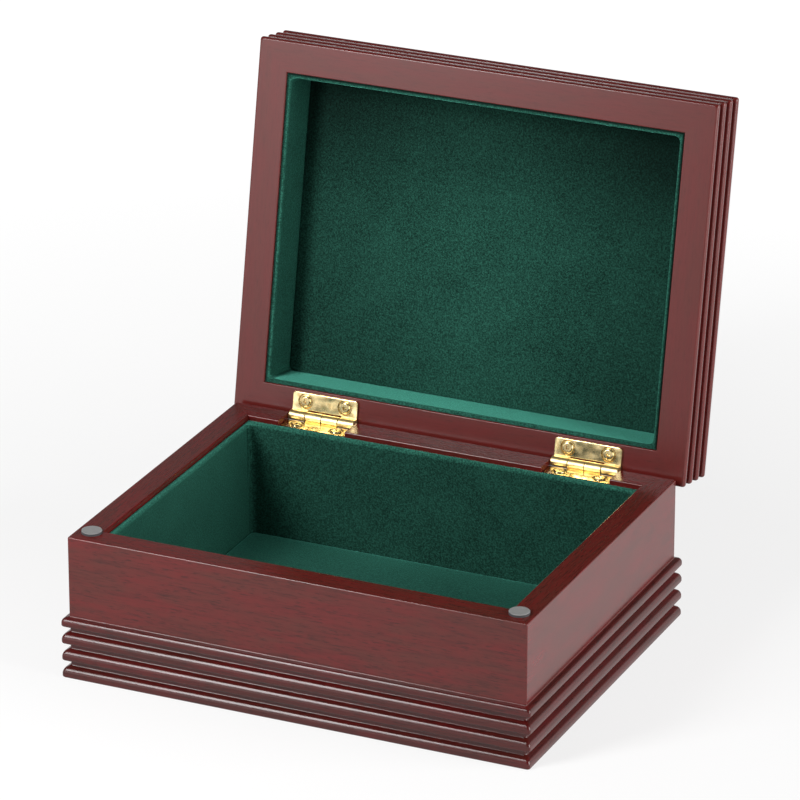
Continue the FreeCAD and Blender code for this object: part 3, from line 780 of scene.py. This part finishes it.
class BaseWalls(bpy.types.Operator):
    """Models the four mitred walls of the base, reeded at the foot"""
    bl_idname = "keepsake.base_walls"
    bl_label = "Base walls"

    def execute(self, context):
        wood, brass = context.scene.keepsake_wood, context.scene.keepsake_brass
        half_x, half_y = WALL_HIGH.x - wood.rib_reach, SIDE_HIGH.y - wood.rib_reach
        ribs, rounds = rib_line(0.0, "rib")
        rim = WALL_HIGH.z
        inside, rebate = -wood.wall, wood.rebate - wood.wall
        section = [(rebate, 0.0), *ribs, (0.0, rim), (inside, rim), (inside, BOARD_HIGH.z), (rebate, BOARD_HIGH.z)]
        rounds[(0.0, rim)] = rounds[(inside, rim)] = (wood.edge_round, 4)
        ring = mitred_ring(half_x, half_y, section, rounds)
        soften_corners(ring, lambda e: on_mitre(e, half_x, half_y, -wood.edge_round, wood.rib_reach)
                       and TOUCH < middle(e).z < rim - TOUCH, lambda e: middle(e).z < ribs[-1][1])
        boards = mitred_boards(ring, half_x, half_y)
        self.cut_mortises(boards["back"], wood, brass)
        materials = board_materials("base", 0.0, 1.0, ribs[-1][1])
        for side, board in boards.items():
            stand_for(board, f"{side}_wall_board", f"base_{side}_wall", "base", materials[side])
        return {"FINISHED"}

    def cut_mortises(self, wall, wood, brass):
        floor = AXIS.z - brass.seat
        clear = brass.width / 2 + wood.mortise_gap
        back, above = SIDE_HIGH.y + wood.wall, WALL_HIGH.z + wood.wall
        for x in (-HINGE_X, HINGE_X):
            take_out(wall, cube((x - clear, LINER_HIGH.y, floor), (x + clear, back, above)))
        drill(wall, floor - brass.shank_length, floor + brass.leaf)


class LidFrame(bpy.types.Operator):
    """Models the four mitred rails of the lid and the panel in them"""
    bl_idname = "keepsake.lid_frame"
    bl_label = "Lid frame"

    def execute(self, context):
        wood, brass = context.scene.keepsake_wood, context.scene.keepsake_brass
        half_x, half_y = WALL_HIGH.x - wood.rib_reach, SIDE_HIGH.y - wood.rib_reach
        ribs, rounds = rib_line(LID_FACE, "lid_rib")
        top = ribs[-1][1]
        inside, rebate = -wood.wall, wood.rebate - wood.wall
        del rounds[ribs[-1]]
        section = [(inside, LID_FACE), *ribs, (rebate, top), (rebate, top - wood.panel), (inside, top - wood.panel)]
        rounds[(inside, LID_FACE)] = (wood.edge_round, 4)
        ring = mitred_ring(half_x, half_y, section, rounds)
        pick(ring, "EDGE", lambda e: on_mitre(e, half_x, half_y, 0.0, wood.rib_reach)
             and LID_FACE + TOUCH < middle(e).z < top - TOUCH)
        round_edges(wood.corner_round, 4)
        boards = mitred_boards(ring, half_x, half_y)
        drill(boards["back"], LID_FACE - brass.leaf, LID_FACE + brass.shank_length)
        materials = board_materials("lid", wood.open_angle, wood.lid_figure, 0.0)
        for side, board in boards.items():
            put(board, swung_open())
            stand_for(board, f"lid_{side}_moulding", f"lid_{side}_rail", "lid", materials[side])
        self.add_panel(half_x + rebate, half_y + rebate, top, wood, materials["front"])
        return {"FINISHED"}

    def add_panel(self, half_x, half_y, top, wood, material):
        panel = cube((-half_x, -half_y, top - wood.panel), (half_x, half_y, top))
        pick(panel, "EDGE", lambda e: level_at(e, top))
        round_edges(wood.panel_edge, 3)
        put(panel, swung_open())
        stand_for(panel, "lid_veneered_panel", "lid_top_panel", "lid", material)


def lay_pile(piece, lie):
    """Stores the painted light and shade of the pile at each vertex."""
    stored = piece.data.attributes.new("pile_lie", "FLOAT", "POINT")
    for v in piece.data.vertices:
        stored.data[v.index].value = lie(v.co)


def velvet_cards(half_x, half_y, low, high, thick, edge, edge_lie, open_below):
    """Four velvet covered cards round a recess, their corners rounded where the velvet turns, with painted light and
    shade stored in their pile.
    """
    velvet = bpy.context.scene.keepsake_velvet
    shown, hidden = (low, high) if open_below else (high, low)
    # The flat point ends the rolled edge's painted highlight a little way past the rounding.
    flat = shown + math.copysign(edge + velvet.open_pile, hidden - shown)
    section = [(0.0, hidden), (0.0, shown), (-thick, shown), (-thick, flat), (-thick, hidden)]
    rounds = {(0.0, shown): (velvet.back_edge, 3), (-thick, shown): (edge, 5)}
    ring = mitred_ring(half_x, half_y, section, rounds)
    pick(ring, "EDGE", lambda e: on_mitre(e, half_x, half_y, -thick, edge - thick) and not level_at(e, hidden))
    round_edges(velvet.inner_corner, 6)
    cards = mitred_boards(ring, half_x, half_y)
    # Painted light: the left cards are made paler all over.
    shift = {"front": 0.0, "back": 0.0, "left": velvet.left_lie, "right": 0.0}

    def lie(at, side):
        """Painted shadow where the card meets the wood, painted highlight along its rolled edge."""
        depth = min(half_x - abs(at.x), half_y - abs(at.y))
        if depth < velvet.back_edge + TOUCH:
            return shift[side] - velvet.gap_lie
        return shift[side] + edge_lie * (abs(at.z - shown) < edge + TOUCH)

    for side, card in cards.items():
        lay_pile(card, lambda at: lie(at, side))
    return cards


def velvet_pad(low, high, corner, edge, crown, up):
    """A padded card with rounded corners, rolled edges and a crowned face."""
    pad = cube(low, high)
    face = high[2] if up else low[2]
    pick(pad, "EDGE", upright)
    round_edges(corner, 5)
    pick(pad, "EDGE", lambda e: level_at(e, face))
    round_edges(edge, 4)
    for axis in (0, 1):
        count = int((high[axis] - low[axis]) / PAD_SPACING)
        for i in range(1, count):
            point, normal = Vector(), Vector()
            point[axis] = low[axis] + (high[axis] - low[axis]) * i / count
            normal[axis] = 1
            cut(pad, point, normal)
    bpy.ops.object.mode_set(mode="OBJECT")
    back = low[2] if up else high[2]
    for v in pad.data.vertices:
        raised = (v.co.z - back) / (face - back)
        aside, along = min(1, abs(v.co.x) / high[0]), min(1, abs(v.co.y) / high[1])
        swell = (1 - aside ** PAD_FLATNESS) * (1 - along ** PAD_FLATNESS)
        v.co.z -= (1 if up else -1) * raised * crown * (1 - swell)
    return pad


class BaseLining(bpy.types.Operator):
    """Models the velvet covered cards and the floor pad of the base"""
    bl_idname = "keepsake.base_lining"
    bl_label = "Base lining"

    def execute(self, context):
        velvet = context.scene.keepsake_velvet
        material = shared(cotton_velvet)
        half_x, half_y = LINER_HIGH.x, -LINER_LOW.y
        cards = velvet_cards(half_x, half_y, LINER_LOW.z, LINER_HIGH.z, velvet.base_card, velvet.rolled_edge,
                             velvet.edge_lie, False)
        self.lap_velvet(cards["left"], half_x, half_y, velvet)
        for side, card in cards.items():
            stand_for(card, f"{side}_velvet_card", f"base_{side}_liner", "base", material)
        pad = velvet_pad(FLOOR_LOW, FLOOR_HIGH, velvet.inner_corner + velvet.pad_corner, velvet.floor_pad_edge,
                         velvet.crown, True)
        stand_for(pad, "floor_velvet_pad", "base_floor_pad", "base", material)
        return {"FINISHED"}

    def lap_velvet(self, card, half_x, half_y, velvet):
        """Raises the end of the left card's velvet, which laps over at the corner and smooths out downwards, and
        paints a highlight along the lap with a thin painted shade line beside it.
        """
        lap = half_y - velvet.lap_from_corner
        for step, _ in LAP_STEPS:
            cut(card, (0, lap + step, 0), (0, 1, 0))
        for i in range(LAP_CUTS):
            cut(card, (0, 0, LINER_HIGH.z - LAP_LENGTH * (i + 1) / LAP_CUTS), (0, 0, 1))
        bpy.ops.object.mode_set(mode="OBJECT")
        lie = card.data.attributes["pile_lie"].data
        for v in card.data.vertices:
            fade = max(0, 1 - (LINER_HIGH.z - v.co.z) / LAP_LENGTH)
            for step, height in LAP_STEPS:
                if near(v.co.y, lap + step) and v.co.x > velvet.base_card / 2 - half_x:
                    v.co.x += height * velvet.lap_thick * fade
                    # Painted highlight on the lap, with a thin painted shade line beside it.
                    lie[v.index].value += height * velvet.lap_lie * fade


class LidLining(bpy.types.Operator):
    """Models the velvet covered strips and the pad in the lid"""
    bl_idname = "keepsake.lid_lining"
    bl_label = "Lid lining"

    def execute(self, context):
        wood, velvet = context.scene.keepsake_wood, context.scene.keepsake_velvet
        material = shared(cotton_velvet)
        half_x, half_y = LINER_HIGH.x, -LINER_LOW.y
        bottom = LID_FACE + velvet.lid_drop
        top = LID_FACE + (wood.rib_count - 1) * wood.lid_rib_pitch + wood.lid_rib_root - wood.panel
        cards = velvet_cards(half_x, half_y, bottom, top, velvet.lid_card, velvet.lid_rolled_edge,
                             velvet.lid_edge_lie, True)
        # Cuts across the rear strip carry its painted shade towards the ends.
        for place in STRIP_CUTS:
            cut(cards["back"], (place * half_x, 0, 0), (1, 0, 0))
        bpy.ops.object.mode_set(mode="OBJECT")
        lie = cards["back"].data.attributes["pile_lie"].data
        for v in cards["back"].data.vertices:
            # The rear strip's painted shadow at the wood becomes the painted highlight of its rolled edge.
            if lie[v.index].value < 0:
                lie[v.index].value = velvet.lid_edge_lie
            # Painted shade towards both ends of the rear strip.
            lie[v.index].value -= velvet.end_lie * ramp(abs(v.co.x) / half_x, *END_RAMP)
        for side, card in cards.items():
            put(card, swung_open())
            stand_for(card, f"lid_{side}_velvet_strip", f"lid_{side}_liner", "lid", material)
        pad_x, pad_y = half_x - velvet.lid_card, half_y - velvet.lid_card
        pad = velvet_pad((-pad_x, -pad_y, top - velvet.lid_pad), (pad_x, pad_y, top),
                         velvet.inner_corner + velvet.pad_corner, velvet.lid_pad_edge, velvet.crown / 2, False)
        # Painted light on the lid's pad, with a painted shadow at its far edge and painted shade at its sides.
        lay_pile(pad, lambda at: velvet.pad_lie - velvet.top_lie * ramp(-at.y / pad_y, *TOP_RAMP)
                 - velvet.side_lie * ramp(abs(at.x) / pad_x, *SIDE_RAMP))
        put(pad, swung_open())
        stand_for(pad, "lid_velvet_pad", "lid_panel_pad", "lid", material)
        return {"FINISHED"}


class Underside(bpy.types.Operator):
    """Models the felt under the box and finishes the bottom board"""
    bl_idname = "keepsake.underside"
    bl_label = "Underside"

    def execute(self, context):
        felt = cube(FELT_LOW, FELT_HIGH)
        pick(felt, "EDGE", lambda e: level_at(e, FELT_LOW.z))
        round_edges(context.scene.keepsake_hidden.felt_edge, 3)
        stand_for(felt, "underside_felt", "base_felt", "base", pressed_felt())
        board = frame["nodes"]["base_bottom_board"]
        board.data.materials.clear()
        board.data.materials.append(birch_plywood())
        return {"FINISHED"}


def hinge_leaf(spans):
    """A leaf along X about its pin, lying towards -Y with its seat up, and a knuckle rolled in each span."""
    brass = bpy.context.scene.keepsake_brass
    half, inner = brass.width / 2, brass.seat - brass.leaf
    hole = brass.shank_radius + brass.hole_gap
    leaf = cube((-half, -brass.reach, inner), (half, -brass.seat, brass.seat))
    pick(leaf, "EDGE", lambda e: near(middle(e).y, -brass.reach) and upright(e))
    round_edges(brass.leaf_corner, 5)
    for x in sorted({end for span in spans for end in span if abs(end) < half - TOUCH}):
        cut(leaf, (x, 0, 0), (1, 0, 0))
    pick(leaf, "FACE", lambda f: f.normal.y > FACING and any(a < middle(f).x < b for a, b in spans))
    drop = brass.knuckle - brass.seat
    bpy.ops.mesh.extrude_region_move(TRANSFORM_OT_translate={"value": (0, brass.seat, drop)})
    bpy.ops.mesh.spin(steps=20, angle=-brass.roll, center=(0, 0, 0), axis=(1, 0, 0))
    close_up(leaf)
    apply_modifier(leaf, "BEVEL", limit_method="ANGLE", angle_limit=BEVEL_ANGLE, width=brass.edge, segments=2)
    pick(leaf, "FACE", lambda f: True)
    bpy.ops.mesh.remove_doubles(threshold=MERGE)
    seat_radius = brass.head_radius + brass.head_gap
    for way in (-1, 1):
        spot = Vector((way * brass.screw_spacing / 2, brass.screw_edge - brass.reach, 0))
        for wide, narrow, depth in ((brass.dimple, seat_radius, brass.sink), (hole, hole, 2 * brass.leaf)):
            take_out(leaf, turned(40, wide, depth, spot + Vector((0, 0, inner + depth / 2)), narrow))
    return leaf


class Hinges(bpy.types.Operator):
    """Models the leaves and pins of the two hinges"""
    bl_idname = "keepsake.hinges"
    bl_label = "Hinges"

    def execute(self, context):
        brass = context.scene.keepsake_brass
        material = shared(polished_brass)
        half, quarter, slack = brass.width / 2, brass.width / 4, brass.gap / 2
        outer = [(-half, -quarter - slack), (quarter + slack, half)]
        inner = [(-quarter + slack, -slack), (slack, quarter - slack)]
        lid_leaf, base_leaf = hinge_leaf(outer), hinge_leaf(inner)
        for name, side in (("left", -1), ("right", 1)):
            place = Matrix.Translation((side * HINGE_X, AXIS.y, AXIS.z))
            leaf = copy_of(lid_leaf)
            put(leaf, swung_open() @ place)
            stand_for(leaf, f"{name}_lid_leaf", f"{name}_hinge_lid_leaf", "lid", material)
            leaf = copy_of(base_leaf)
            put(leaf, place @ Matrix.Rotation(math.pi, 4, "Y"))
            stand_for(leaf, f"{name}_base_leaf", f"{name}_hinge_base_leaf", "base", material)
            self.add_pin(name, brass, material)
        bpy.data.objects.remove(lid_leaf)
        bpy.data.objects.remove(base_leaf)
        return {"FINISHED"}

    def add_pin(self, name, brass, material):
        low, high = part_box(f"{name}_hinge_pin")
        pin = turned(24, (high.z - low.z) / 2, high.x - low.x, (low + high) / 2, rotation=(0, math.pi / 2, 0))
        pick(pin, "FACE", lambda f: abs(f.normal.x) > FACING)
        round_edges(brass.pin_edge, 3)
        stand_for(pin, f"{name}_pin", f"{name}_hinge_pin", "base", material)


def pan_head_screw():
    """A screw with its bearing face at Z zero and its head up."""
    brass = bpy.context.scene.keepsake_brass
    screw = turned(32, brass.head_radius, brass.head_height, (0, 0, brass.head_height / 2))
    pick(screw, "FACE", lambda f: f.normal.z > FACING)
    round_edges(brass.head_round, 5)
    pick(screw, "FACE", lambda f: f.normal.z < -FACING)
    bpy.ops.mesh.inset(thickness=brass.head_radius - brass.shank_radius)
    bpy.ops.mesh.extrude_region_move(
        TRANSFORM_OT_translate={"value": (0, 0, brass.shank_point - brass.shank_length)})
    bpy.ops.mesh.extrude_region_move(TRANSFORM_OT_translate={"value": (0, 0, -brass.shank_point)})
    bpy.ops.mesh.merge(type="CENTER")
    long, wide = brass.recess_length / 2, brass.recess_width / 2
    floor = brass.head_height - brass.recess_depth
    for turn in (0, math.pi / 2):
        wing = cube((-long, -wide, floor), (long, wide, 2 * brass.head_height))
        pick(wing, "VERT", lambda v: near(v.co.z, floor))
        bpy.ops.transform.resize(value=RECESS_TAPER, center_override=(0, 0, floor))
        put(wing, Matrix.Rotation(turn + brass.recess_turn, 4, "Z"))
        take_out(screw, wing)
    return screw


class Screws(bpy.types.Operator):
    """Models the pan head screws of the four leaves"""
    bl_idname = "keepsake.screws"
    bl_label = "Screws"

    def execute(self, context):
        brass = context.scene.keepsake_brass
        material = shared(polished_brass)
        screw = pan_head_screw()
        upside_down = Matrix.Rotation(math.pi, 4, "Y")
        seats = {
            "base": (Matrix(), AXIS.z - brass.seat + brass.leaf - brass.sink, Matrix()),
            "lid": (swung_open(), LID_FACE - brass.leaf + brass.sink, upside_down),
        }
        spots = screw_spots()
        for name, pair in (("left", spots[:2]), ("right", spots[2:])):
            for body, (swing, height, stance) in seats.items():
                twins = []
                for (x, y), turn in zip(pair, SCREW_TURNS[name]):
                    twins.append(copy_of(screw))
                    driven = stance @ Matrix.Rotation(turn, 4, "Z")
                    put(twins[-1], swing @ Matrix.Translation((x, y, height)) @ driven)
                only(twins[0])
                twins[1].select_set(True)
                bpy.ops.object.join()
                stand_for(twins[0], f"{name}_{body}_screws", f"{name}_hinge_{body}_screws", body, material)
        bpy.data.objects.remove(screw)
        return {"FINISHED"}


class Bumpers(bpy.types.Operator):
    """Models the two rubber bumpers on the front corners of the rim"""
    bl_idname = "keepsake.bumpers"
    bl_label = "Bumpers"

    def execute(self, context):
        rubber = context.scene.keepsake_rubber
        material = moulded_rubber()
        for name in ("left", "right"):
            low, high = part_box(f"bumper_{name}")
            disc = turned(48, (high.x - low.x) / 2, high.z - low.z, (low + high) / 2)
            pick(disc, "FACE", lambda f: f.normal.z > FACING)
            round_edges(rubber.rounding, 4)
            pick(disc, "FACE", lambda f: f.normal.z > FLAT)
            bpy.ops.mesh.inset(thickness=rubber.lip)
            bpy.ops.mesh.inset(thickness=rubber.step, depth=-rubber.dish)
            stand_for(disc, f"{name}_bumper_disc", f"bumper_{name}", "base", material)
        return {"FINISHED"}


def background_rays(tree):
    """One for the rays that show the white background: those of the camera, of gloss and through glass."""
    rays = add_node(tree, "ShaderNodeLightPath")
    seen = add_node(tree, "ShaderNodeMath", {"operation": "MAXIMUM"}, {
        0: rays.outputs["Is Camera Ray"], 1: rays.outputs["Is Glossy Ray"]})
    shown = add_node(tree, "ShaderNodeMath", {"operation": "MAXIMUM"}, {
        0: seen.outputs[0], 1: rays.outputs["Is Transmission Ray"]})
    return shown.outputs[0]


class Stage(bpy.types.Operator):
    """Sets the floor, the lamps, the surround and the camera"""
    bl_idname = "keepsake.stage"
    bl_label = "Stage"

    def execute(self, context):
        stage = context.scene.keepsake_stage
        context.scene.view_settings.view_transform = "Standard"
        self.add_floor(stage)
        self.add_surround(stage)
        for name in ("key", "fill", "front"):
            self.add_lamp(stage, name)
        lens = bpy.data.cameras.new("camera")
        lens.lens = stage.lens
        lens.sensor_width = 36
        lens.clip_end = 20
        camera = bpy.data.objects.new("camera", lens)
        context.scene.collection.objects.link(camera)
        camera.location = stage.camera_at
        camera.rotation_mode = "ZYX"
        camera.rotation_euler = stage.camera_turn
        context.scene.camera = camera
        return {"FINISHED"}

    def add_lamp(self, stage, name):
        light = bpy.data.lights.new(f"{name}_softbox", "AREA")
        light.shape = "RECTANGLE"
        light.size, light.size_y = getattr(stage, f"{name}_size")
        light.energy = getattr(stage, f"{name}_power")
        lamp = bpy.data.objects.new(f"{name}_softbox", light)
        bpy.context.scene.collection.objects.link(lamp)
        lamp.location = getattr(stage, f"{name}_at")
        way = Vector((0, 0, stage.aim)) - lamp.location
        lamp.rotation_euler = way.to_track_quat("-Z", "Y").to_euler()

    def add_floor(self, stage):
        clear_selection()
        bpy.ops.mesh.primitive_plane_add(size=stage.floor, location=(0, 0, 0))
        floor = bpy.context.object
        floor.name = "floor"
        material, tree, place = new_material("white_paper")
        paper = add_node(tree, "ShaderNodeBsdfDiffuse", sockets={"Color": stage.paper})
        away = add_node(tree, "ShaderNodeVectorMath", {"operation": "LENGTH"}, {0: place})
        lit = add_node(tree, "ShaderNodeMapRange", sockets={
            "Value": away.outputs["Value"], "From Min": stage.glow_near, "From Max": stage.glow_far,
            "To Min": stage.glow, "To Max": 1.0})
        glow = add_node(tree, "ShaderNodeEmission", sockets={"Color": stage.white, "Strength": lit.outputs[0]})
        shade = add_node(tree, "ShaderNodeBsdfDiffuse", sockets={"Color": stage.paper_shade})
        bright = add_node(tree, "ShaderNodeAddShader", sockets={0: shade.outputs[0], 1: glow.outputs[0]})
        mixed = add_node(tree, "ShaderNodeMixShader", sockets={
            0: background_rays(tree), 1: paper.outputs[0], 2: bright.outputs[0]})
        add_node(tree, "ShaderNodeOutputMaterial", sockets={"Surface": mixed.outputs[0]})
        floor.data.materials.append(material)

    def add_surround(self, stage):
        world = bpy.data.worlds.new("studio")
        bpy.context.scene.world = world
        world.use_nodes = True
        tree = world.node_tree
        tree.nodes.clear()
        way = add_node(tree, "ShaderNodeSeparateXYZ", sockets={
            0: add_node(tree, "ShaderNodeTexCoord").outputs["Generated"]})
        sweep = add_node(tree, "ShaderNodeMapRange", sockets={
            "Value": way.outputs["Z"], "From Min": stage.horizon, "From Max": stage.dome,
            "To Min": 1.0, "To Max": stage.sky})
        room = add_node(tree, "ShaderNodeBackground", sockets={"Color": stage.white, "Strength": stage.sky})
        white = add_node(tree, "ShaderNodeBackground", sockets={"Color": stage.white, "Strength": sweep.outputs[0]})
        mixed = add_node(tree, "ShaderNodeMixShader", sockets={
            0: background_rays(tree), 1: room.outputs[0], 2: white.outputs[0]})
        add_node(tree, "ShaderNodeOutputWorld", sockets={"Surface": mixed.outputs[0]})


STEPS = (BaseWalls, LidFrame, BaseLining, LidLining, Underside, Hinges, Screws, Bumpers, Stage)
GROUPS = {
    "keepsake_wood": WoodSettings,
    "keepsake_velvet": VelvetSettings,
    "keepsake_brass": BrassSettings,
    "keepsake_rubber": RubberSettings,
    "keepsake_hidden": HiddenSettings,
    "keepsake_stage": StageSettings,
}


class KeepsakePanel(bpy.types.Panel):
    """Lists the steps and their settings"""
    bl_idname = "VIEW3D_PT_keepsake_box"
    bl_label = "Keepsake box"
    bl_space_type = "VIEW_3D"
    bl_region_type = "UI"
    bl_category = "Keepsake box"

    def draw(self, context):
        for step in STEPS:
            self.layout.operator(step.bl_idname)
        for name, group in GROUPS.items():
            box = self.layout.box()
            for setting in group.__annotations__:
                box.prop(getattr(context.scene, name), setting)


def register():
    for name, group in GROUPS.items():
        bpy.utils.register_class(group)
        setattr(bpy.types.Scene, name, bpy.props.PointerProperty(type=group))
    for step in (*STEPS, KeepsakePanel):
        bpy.utils.register_class(step)


def unregister():
    for step in (KeepsakePanel, *reversed(STEPS)):
        bpy.utils.unregister_class(step)
    for name, group in reversed(GROUPS.items()):
        delattr(bpy.types.Scene, name)
        bpy.utils.unregister_class(group)


def main():
    register()
    bpy.ops.keepsake.base_walls()
    bpy.ops.keepsake.lid_frame()
    bpy.ops.keepsake.base_lining()
    bpy.ops.keepsake.lid_lining()
    bpy.ops.keepsake.underside()
    bpy.ops.keepsake.hinges()
    bpy.ops.keepsake.screws()
    bpy.ops.keepsake.bumpers()
    bpy.ops.keepsake.stage()


if __name__ == "__main__":
    main()
